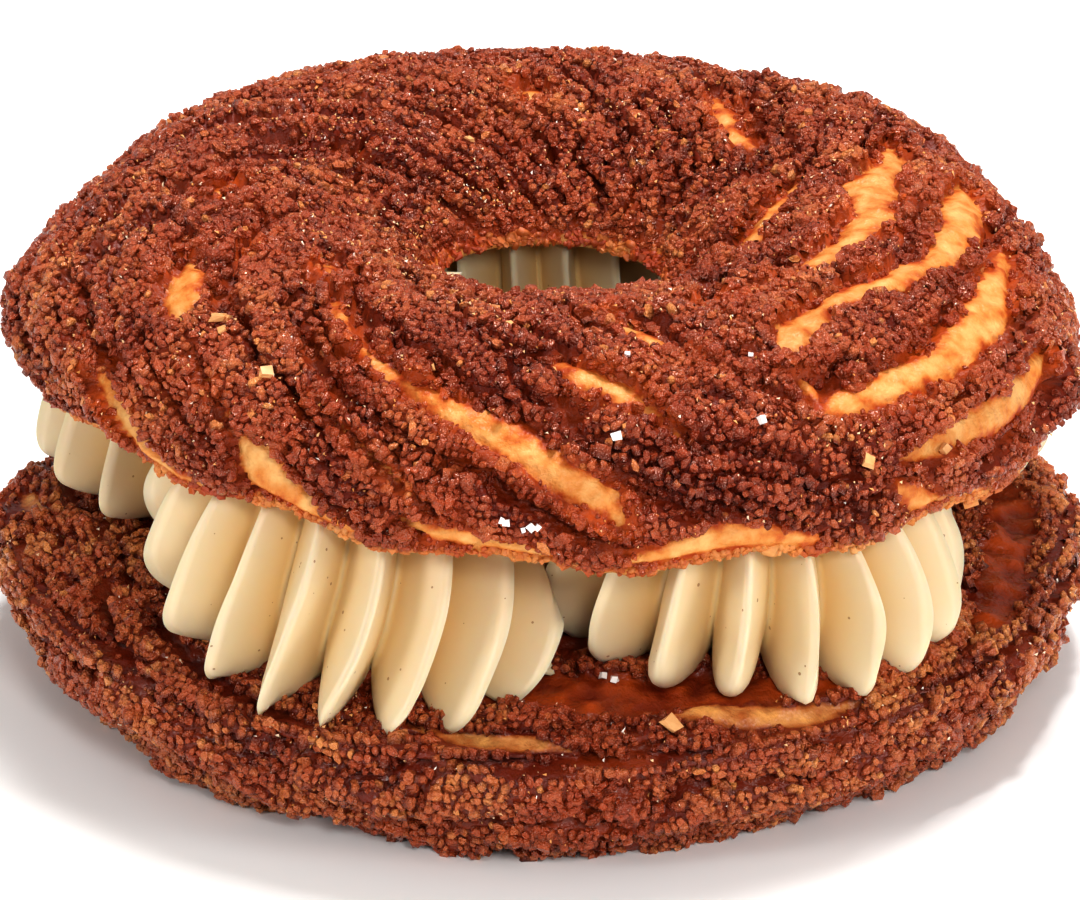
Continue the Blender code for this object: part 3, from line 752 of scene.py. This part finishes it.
def build_swirl(index, material):
    """One piped mound: thin fluted blades round a core, pointed where they end on the base."""
    flutes, first, twist, spread, size, foot, (off_x, off_y), (push_x, push_y) = SWIRLS[index]
    columns = flutes * FLUTE_COLUMNS
    levels = np.linspace(0, 1, SWIRL_ROWS) ** 1.15
    level, column = np.meshgrid(levels, np.arange(columns), indexing="ij")
    phase = column / FLUTE_COLUMNS * math.tau
    turn = (phase - math.pi) / flutes + math.radians(first)
    centre = math.radians(SWIRL_FIRST + 360.0 / SWIRL_COUNT * index)
    low = (1.0 - level) ** TWIST_POWER
    turn = turn + math.radians(spread) * np.cos(turn) + math.radians(twist) * low
    hub_x = SWIRL_RING * math.cos(centre) + off_x + push_x * low
    hub_y = SWIRL_RING * math.sin(centre) + off_y + push_y * low
    curve = np.polyfit(SWIRL_LEVELS, (foot,) + SWIRL_SWELL[1:], 4)
    swell = np.polyval(curve, level)
    toward_hole = np.clip(-np.cos(turn - centre), 0, 1) * np.clip(2.0 * level - 1.0, 0, 1)
    swell = np.maximum(swell, swell + (HOLE_FULLNESS - swell) * toward_hole)
    swell = swell * (1.0 - SWIRL_FLAT * np.cos(turn - centre) ** 2)
    near_foot = 1.0 - smooth_step(level, 0.0, 0.45)
    off_crest = np.abs((phase / math.tau) % 1.0 * 2.0 - 1.0)
    crest = 1.0 - off_crest ** (0.88 + SWIRL_BLUNT[index] * near_foot)
    depth = FLUTE_DEPTH + 0.06 * near_foot
    reach = size * swell * (1.0 - depth * (1.0 - crest))
    rounding = np.clip(1.0 - level / 0.2, 0, 1) ** 2
    reach = reach * (1.0 - 0.07 * rounding)
    reach = reach + SWIRL_LUMPS * soft_noise(np.stack([3.0 * level, turn * 2.5, np.full_like(turn, index)], -1), 1.0, 81)
    reach = np.minimum(reach, neighbour_limit(turn, centre, hub_x, hub_y) * (0.88 + 0.12 * crest))
    x = hub_x + reach * np.cos(turn)
    y = hub_y + reach * np.sin(turn)
    lower = base_top(x, y) + FOOT_GAP
    upper = lid_under(x, y) - GAP
    arch = BLADE_ARCH * (1.0 - crest) ** 1.6 * (1.0 - level) ** 4
    z = lower + (upper - lower) * level + arch
    side = np.stack([x + RING_AT[0], y + RING_AT[1], z], -1)
    hub = np.array([hub_x[0, 0], hub_y[0, 0]])
    ends = []
    for row, part in ((-1, 0.5), (0, 0.5)):
        loop = side[row].copy()
        middle = np.array([hub_x[row, 0] + RING_AT[0], hub_y[row, 0] + RING_AT[1]])
        loop[:, :2] = middle + (loop[:, :2] - middle) * part
        local = loop[:, :2] - np.array(RING_AT)
        if row == 0:
            loop[:, 2] = base_top(local[:, 0], local[:, 1]) + FOOT_GAP
        else:
            loop[:, 2] = lid_under(local[:, 0], local[:, 1]) - GAP
        ends.append(loop)
    grid = np.concatenate([ends[1][None], side, ends[0][None]])
    valley = np.concatenate([crest[:1], crest, crest[-1:]])
    up = np.concatenate([level[:1], level, level[-1:]])
    points = grid.reshape(-1, 3)
    faces = sheet_faces(len(grid), columns, False)
    # The first tone value is 1 on a blade's crest and 0 in its valley; the material paints shade into the valleys
    # with it.
    tone = np.stack([valley, up, np.zeros_like(up)], -1).reshape(-1, 3)
    points, faces, tone = close_ends(points, faces, tone, columns)
    name = "cream_%d" % (index + 1)
    return add_mesh(name, points, faces, material, tone=tone)


def close_ends(points, faces, tone, columns):
    """Adds a middle point at each end of a tube, as quads with one side of no length avoided."""
    first = points[:columns].mean(axis=0)
    last = points[-columns:].mean(axis=0)
    start = len(points)
    points = np.concatenate([points, [first, last]])
    tone = np.concatenate([tone, tone[:1], tone[-1:]])
    even = np.arange(0, columns, 2)
    low = np.stack([np.full(len(even), start), (even + 2) % columns, even + 1, even], -1)
    top = start - columns
    high = np.stack([np.full(len(even), start + 1), top + even, top + even + 1, top + (even + 2) % columns], -1)
    return points, np.concatenate([faces, low, high]), tone


# ---------------------------------------------------------------- materials

def new_material(name):
    material = bpy.data.materials.new(name)
    material.use_nodes = True
    tree = material.node_tree
    return material, tree, tree.nodes["Principled BSDF"]


def noise_node(tree, size, detail=2.0, seed=0.0):
    """Noise in the object's own space; size is in metres."""
    place = tree.nodes.new("ShaderNodeTexCoord")
    shift = tree.nodes.new("ShaderNodeMapping")
    shift.inputs["Location"].default_value = (seed, seed * 0.7, seed * 1.3)
    noise = tree.nodes.new("ShaderNodeTexNoise")
    noise.inputs["Scale"].default_value = 1.0 / size
    noise.inputs["Detail"].default_value = detail
    tree.links.new(place.outputs["Object"], shift.inputs["Vector"])
    tree.links.new(shift.outputs["Vector"], noise.inputs["Vector"])
    return noise.outputs["Fac"]


def facet_node(tree, size):
    """Small facets in the object's own space, as crumbled sugar breaks."""
    place = tree.nodes.new("ShaderNodeTexCoord")
    cells = tree.nodes.new("ShaderNodeTexVoronoi")
    cells.inputs["Scale"].default_value = 1.0 / size
    tree.links.new(place.outputs["Object"], cells.inputs["Vector"])
    return math_node(tree, "SUBTRACT", 1.0, cells.outputs["Distance"])


def math_node(tree, operation, first, second=0.0, clamp=False):
    node = tree.nodes.new("ShaderNodeMath")
    node.operation = operation
    node.use_clamp = clamp
    for socket, value in zip(node.inputs, (first, second)):
        if isinstance(value, (int, float)):
            socket.default_value = value
        else:
            tree.links.new(value, socket)
    return node.outputs[0]


def mix_colours(tree, factor, first, second):
    node = tree.nodes.new("ShaderNodeMix")
    node.data_type = "RGBA"
    for socket, value in ((node.inputs[0], factor), (node.inputs[6], first), (node.inputs[7], second)):
        if isinstance(value, tuple):
            socket.default_value = (*value, 1.0)
        elif isinstance(value, (int, float)):
            socket.default_value = value
        else:
            tree.links.new(value, socket)
    return node.outputs[2]


def ramp_node(tree, factor, stops):
    node = tree.nodes.new("ShaderNodeValToRGB")
    ramp = node.color_ramp
    while len(ramp.elements) < len(stops):
        ramp.elements.new(0.5)
    for element, (at, colour) in zip(ramp.elements, stops):
        element.position = at
        element.color = (*colour, 1.0)
    tree.links.new(factor, node.inputs["Fac"])
    return node.outputs["Color"]


def tone_nodes(tree):
    read = tree.nodes.new("ShaderNodeAttribute")
    read.attribute_name = "Tone"
    split = tree.nodes.new("ShaderNodeSeparateColor")
    tree.links.new(read.outputs["Color"], split.inputs["Color"])
    return split.outputs["Red"], split.outputs["Green"], split.outputs["Blue"], read.outputs["Alpha"]


def bump_node(tree, shader, height, strength, distance):
    bump = tree.nodes.new("ShaderNodeBump")
    bump.inputs["Strength"].default_value = strength
    bump.inputs["Distance"].default_value = distance
    tree.links.new(height, bump.inputs["Height"])
    tree.links.new(bump.outputs["Normal"], shader.inputs["Normal"])
    tree.links.new(bump.outputs["Normal"], shader.inputs["Coat Normal"])


CRUST_STOPS = (
    (0.0, (0.15, 0.010, 0.001)),
    (0.3, (0.28, 0.033, 0.007)),
    (0.55, (0.38, 0.064, 0.017)),
    (0.8, (0.49, 0.125, 0.035)),
    (1.0, (0.68, 0.26, 0.075)),
)
CARAMEL = (0.38, 0.040, 0.004)
# Painted shade and glow: the dark colour stands for shade between the grains, the orange one for caramel with a
# painted glow of light through it.
CREVICE_PAINTED_SHADE = (0.12, 0.007, 0.0)
CARAMEL_PAINTED_GLOW = (0.52, 0.082, 0.005)


def crust_colour(tree, tint, caramel):
    fleck = noise_node(tree, 0.5 * MM, 2.0)
    tint = math_node(tree, "ADD", tint, math_node(tree, "MULTIPLY", fleck, 0.3))
    tint = math_node(tree, "SUBTRACT", tint, 0.15)
    plain = ramp_node(tree, tint, CRUST_STOPS)
    return mix_colours(tree, math_node(tree, "MULTIPLY", caramel, 0.4), plain, CARAMEL)


def crevice_shade_and_glow(tree, caramel):
    """Painted shade between the grains: dark, and orange where the sugar has melted thin; the orange is partly
    caramel's own colour and partly a painted glow of light through the thin sugar.
    """
    return mix_colours(tree, caramel, CREVICE_PAINTED_SHADE, CARAMEL_PAINTED_GLOW)


def grain_material():
    material, tree, shader = new_material("sugar_grain_look")
    tint, caramel, low, gloss = tone_nodes(tree)
    body = crust_colour(tree, tint, caramel)
    # Painted shade: each grain darkens toward its foot, where shade falls between the grains.
    deep = math_node(tree, "MULTIPLY", low, 1.3, clamp=True)
    colour = mix_colours(tree, deep, body, crevice_shade_and_glow(tree, caramel))
    tree.links.new(colour, shader.inputs["Base Color"])
    rough = math_node(tree, "SUBTRACT", 0.42, math_node(tree, "MULTIPLY", gloss, 0.2))
    tree.links.new(rough, shader.inputs["Roughness"])
    shader.inputs["Specular IOR Level"].default_value = 0.75
    shader.inputs["Specular Tint"].default_value = (1.0, 0.6, 0.42, 1.0)
    shader.inputs["Coat Weight"].default_value = 0.4
    shader.inputs["Coat Roughness"].default_value = 0.06
    chipped = math_node(tree, "MULTIPLY", noise_node(tree, 0.14 * MM, 1.0), 0.5)
    chipped = math_node(tree, "ADD", chipped, facet_node(tree, 0.32 * MM))
    bump_node(tree, shader, chipped, 1.0, 0.24 * MM)
    return material


def sheet_material(name, choux_stops, gloss):
    """Crust where it holds, and the softer choux where it has opened."""
    material, tree, shader = new_material(name)
    tint, caramel, edge, spare = tone_nodes(tree)
    # Painted shade: the sheet shows between the grains, so its crust takes some of the crevice shade.
    between_grains_shade = crevice_shade_and_glow(tree, math_node(tree, "MULTIPLY", caramel, 0.75))
    crust = mix_colours(tree, 0.85, crust_colour(tree, tint, caramel), between_grains_shade)
    inside = math_node(tree, "MULTIPLY", math_node(tree, "SUBTRACT", 0.5, edge), 4.0)
    ragged = math_node(tree, "MULTIPLY", math_node(tree, "SUBTRACT", noise_node(tree, 0.5 * MM, 3.0), 0.5), 0.6)
    bare = math_node(tree, "ADD", math_node(tree, "SUBTRACT", inside, 0.15), ragged)
    bare = math_node(tree, "MULTIPLY", bare, 5.0, clamp=True)
    deep = math_node(tree, "SUBTRACT", 1.0, math_node(tree, "MULTIPLY", inside, 0.75), clamp=True)
    cloud = noise_node(tree, 2.5 * MM, 5.0)
    fade = math_node(tree, "SUBTRACT", math_node(tree, "MULTIPLY", cloud, 2.0), 0.35)
    fade = math_node(tree, "SUBTRACT", fade, math_node(tree, "MULTIPLY", deep, 0.6))
    choux = ramp_node(tree, fade, choux_stops)
    colour = mix_colours(tree, bare, crust, choux)
    tree.links.new(colour, shader.inputs["Base Color"])
    rough = math_node(tree, "MULTIPLY", noise_node(tree, 1.2 * MM, 2.0), 0.3)
    rough = math_node(tree, "ADD", rough, 0.35)
    tree.links.new(rough, shader.inputs["Roughness"])
    shader.inputs["Specular IOR Level"].default_value = 0.15
    shader.inputs["Coat Weight"].default_value = gloss
    shader.inputs["Coat Roughness"].default_value = 0.2
    skin = math_node(tree, "MULTIPLY", noise_node(tree, 1.3 * MM, 3.0, 2.0), 1.6)
    skin = math_node(tree, "ADD", skin, math_node(tree, "MULTIPLY", noise_node(tree, 0.45 * MM, 3.0), 0.5))
    bump_node(tree, shader, skin, 0.7, 0.35 * MM)
    return material


def crumb_material():
    material, tree, shader = new_material("choux_crumb_look")
    tint, caramel, low, gloss = tone_nodes(tree)
    body = ramp_node(tree, tint, LID_CHOUX)
    colour = mix_colours(tree, math_node(tree, "MULTIPLY", caramel, 0.6), body, LID_CHOUX[0][1])
    tree.links.new(colour, shader.inputs["Base Color"])
    shader.inputs["Roughness"].default_value = 0.5
    bump_node(tree, shader, noise_node(tree, 0.3 * MM, 3.0), 0.4, 0.15 * MM)
    return material


def painted_glint_material():
    material, tree, shader = new_material("sugar_speck_painted_glint_look")
    tint, same, spare, full = tone_nodes(tree)
    # Painted glints: from orange to near white.
    stops = ((0.0, (0.75, 0.34, 0.10)), (0.5, (0.90, 0.62, 0.34)), (1.0, (0.97, 0.92, 0.84)))
    tree.links.new(ramp_node(tree, tint, stops), shader.inputs["Base Color"])
    shader.inputs["Roughness"].default_value = 0.12
    return material


def block_material(name, colour, other, roughness):
    material, tree, shader = new_material(name)
    body = mix_colours(tree, noise_node(tree, 0.7 * MM, 2.0), colour, other)
    tree.links.new(body, shader.inputs["Base Color"])
    shader.inputs["Roughness"].default_value = roughness
    return material


def cream_material():
    material, tree, shader = new_material("vanilla_cream_look")
    crest, level, spare, full = tone_nodes(tree)
    cloud = noise_node(tree, 6.0 * MM, 3.0)
    warm = mix_colours(tree, cloud, (0.715, 0.64, 0.465), (0.69, 0.56, 0.36))
    # Painted shade: the valleys between blades are darker and warmer, the crests lighter.
    body = mix_colours(tree, crest, (0.66, 0.43, 0.17), warm)
    place = tree.nodes.new("ShaderNodeTexCoord")
    cells = tree.nodes.new("ShaderNodeTexVoronoi")
    cells.inputs["Scale"].default_value = 1.0 / (1.5 * MM)
    tree.links.new(place.outputs["Object"], cells.inputs["Vector"])
    split = tree.nodes.new("ShaderNodeSeparateColor")
    tree.links.new(cells.outputs["Color"], split.inputs["Color"])
    wide = math_node(tree, "MULTIPLY", split.outputs["Green"], 0.14)
    near = math_node(tree, "LESS_THAN", cells.outputs["Distance"], wide)
    some = math_node(tree, "GREATER_THAN", split.outputs["Red"], 0.45)
    speck = math_node(tree, "MULTIPLY", math_node(tree, "MULTIPLY", near, some), 0.75)
    colour = mix_colours(tree, speck, body, (0.26, 0.11, 0.03))
    tree.links.new(colour, shader.inputs["Base Color"])
    shader.inputs["Roughness"].default_value = 0.42
    shader.inputs["Subsurface Weight"].default_value = 0.4
    shader.inputs["Subsurface Radius"].default_value = (1.0, 0.55, 0.25)
    shader.inputs["Subsurface Scale"].default_value = 1.3 * MM
    bump_node(tree, shader, noise_node(tree, 1.2 * MM, 2.0), 0.08, 0.2 * MM)
    return material


LID_CHOUX = (
    (0.0, (0.36, 0.044, 0.004)),
    (0.25, (0.50, 0.12, 0.018)),
    (0.5, (0.61, 0.23, 0.050)),
    (1.0, (0.71, 0.40, 0.145)),
)
BASE_CHOUX = (
    (0.0, (0.20, 0.036, 0.008)),
    (0.35, (0.44, 0.12, 0.024)),
    (0.7, (0.58, 0.24, 0.070)),
    (1.0, (0.76, 0.36, 0.10)),
)


# ---------------------------------------------------------------- stage

def build_stage():
    mesh = bpy.data.meshes.new("floor")
    half = 3.0
    mesh.from_pydata([(-half, -half, 0), (half, -half, 0), (half, half, 0), (-half, half, 0)], [], [(0, 1, 2, 3)])
    floor = bpy.data.objects.new("floor", mesh)
    floor.location.z = -0.02 * MM
    material, tree, shader = new_material("pale_floor")
    shader.inputs["Base Color"].default_value = (0.92, 0.92, 0.91, 1.0)
    shader.inputs["Roughness"].default_value = 0.7
    mesh.materials.append(material)
    bpy.context.scene.collection.objects.link(floor)
    floor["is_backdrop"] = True


def add_light(name, location, target, size, power):
    lamp = bpy.data.lights.new(name, "AREA")
    lamp.shape = "SQUARE"
    lamp.size = size
    lamp.energy = power
    item = bpy.data.objects.new(name, lamp)
    item.location = location
    back = np.array(location) - np.array(target)
    from mathutils import Vector
    item.rotation_euler = Vector(back).to_track_quat("Z", "Y").to_euler()
    bpy.context.scene.collection.objects.link(item)


def build_light():
    world = bpy.data.worlds.new("studio")
    bpy.context.scene.world = world
    world.use_nodes = True
    back = world.node_tree.nodes["Background"]
    back.inputs["Color"].default_value = (1.0, 0.99, 0.97, 1.0)
    back.inputs["Strength"].default_value = 0.46
    add_light("key", (0.10, 0.20, 0.84), (0, 0, 0.03), 0.20, 7.4)
    add_light("left", (-0.70, -0.40, 0.32), (0, 0, 0.03), 0.20, 2.3)
    add_light("right", (0.72, -0.36, 0.30), (0, 0, 0.03), 0.20, 2.2)
    add_light("front", (0.16, -0.76, 0.50), (0, 0, 0.03), 0.18, 3.0)


def build_camera():
    """A long lens from the front, 24 degrees above the horizon."""
    data = bpy.data.cameras.new("camera")
    camera = bpy.data.objects.new("camera", data)
    elevation = math.radians(24.0)
    distance = 0.85
    aim = (-0.387 * MM + RING_AT[0], RING_AT[1], 22.655 * MM)
    camera.location = (
        aim[0],
        aim[1] - distance * math.cos(elevation),
        aim[2] + distance * math.sin(elevation),
    )
    camera.rotation_euler = (math.pi / 2 - elevation, 0.0, 0.0)
    data.sensor_width = 36.0
    data.lens = 265.88
    data.clip_end = 10.0
    bpy.context.scene.collection.objects.link(camera)
    bpy.context.scene.camera = camera


def main():
    grain = grain_material()
    lid = build_lid(sheet_material("lid_crust_look", LID_CHOUX, 0.12))
    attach(lid, "root")
    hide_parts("lid")
    base = build_base(sheet_material("base_crust_look", BASE_CHOUX, 0.5))
    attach(base, "root")
    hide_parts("base")
    cream = cream_material()
    for index in range(SWIRL_COUNT):
        swirl = build_swirl(index, cream)
        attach(swirl, "root")
        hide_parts("cream_swirl_%d" % (index + 1))
    rng = np.random.default_rng(7)
    spots = grain_spots(lid_section, math.radians(-20), math.radians(158), GRAIN_SPACING, rng)
    half = len(spots[0]) // 2
    for name, part in (("lid_grains_outer", slice(0, half)), ("lid_grains_inner", slice(half, None))):
        chosen = (spots[0][part], spots[1][part])
        item = build_grains(name, chosen, lid_place, lid_field, 1.15 * GRAIN_SPACING, lid_keep, lid_tones, 0.03,
                            grain, rng)
        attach(item, "root")
    crumbs = build_rim_crumbs(crumb_material(), rng)
    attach(crumbs, "root")
    white = block_material("white_sugar_look", (0.95, 0.94, 0.92), (0.88, 0.84, 0.80), 0.15)
    golden = block_material("golden_crumb_look", (0.80, 0.46, 0.20), (0.62, 0.28, 0.09), 0.45)
    bits = build_bits("sugar_crystals", LID_CRYSTALS, lid_place, lid_field, 0.8, 0.75, white, rng)
    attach(bits, "root")
    bits = build_bits("golden_chips", LID_CHIPS, lid_place, lid_field, 0.4, 0.4, golden, rng)
    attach(bits, "root")
    bits = build_bits("base_crystals", BASE_CRYSTALS, base_place, base_field, 0.8, 0.4, white, rng)
    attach(bits, "root")
    bits = build_bits("base_chips", BASE_CHIPS, base_place, base_field, 0.35, 0.7, golden, rng)
    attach(bits, "root")
    glint_look = painted_glint_material()
    item = build_painted_glints("lid_painted_glints", 8000, math.radians(-10), math.radians(150), lid_place, lid_field, lid_keep,
                        glint_look, rng)
    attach(item, "root")
    item = build_painted_glints("base_painted_glints", 3500, -0.5, 1.1, base_place, base_field, base_keep, glint_look, rng)
    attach(item, "root")
    spots = grain_spots(base_section, BASE_FOOT + 0.06, math.radians(76), BASE_GRAIN_SPACING, rng)
    half = len(spots[0]) // 2
    for name, part in (("base_grains_low", slice(0, half)), ("base_grains_high", slice(half, None))):
        chosen = (spots[0][part], spots[1][part])
        item = build_grains(name, chosen, base_place, base_field, 1.15 * BASE_GRAIN_SPACING, base_keep,
                            base_tones, 0.01, grain, rng)
        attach(item, "root")
    build_stage()
    build_light()
    build_camera()
    total = 0
    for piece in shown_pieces():
        piece.data.calc_loop_triangles()
        total += len(piece.data.loop_triangles)
        print(piece.name, len(piece.data.loop_triangles))
    print("TOTAL", total)


bpy.context.scene.view_settings.view_transform = "Standard"
bpy.context.scene.view_settings.exposure = 0.1
bpy.context.scene.view_settings.gamma = 0.835
main()
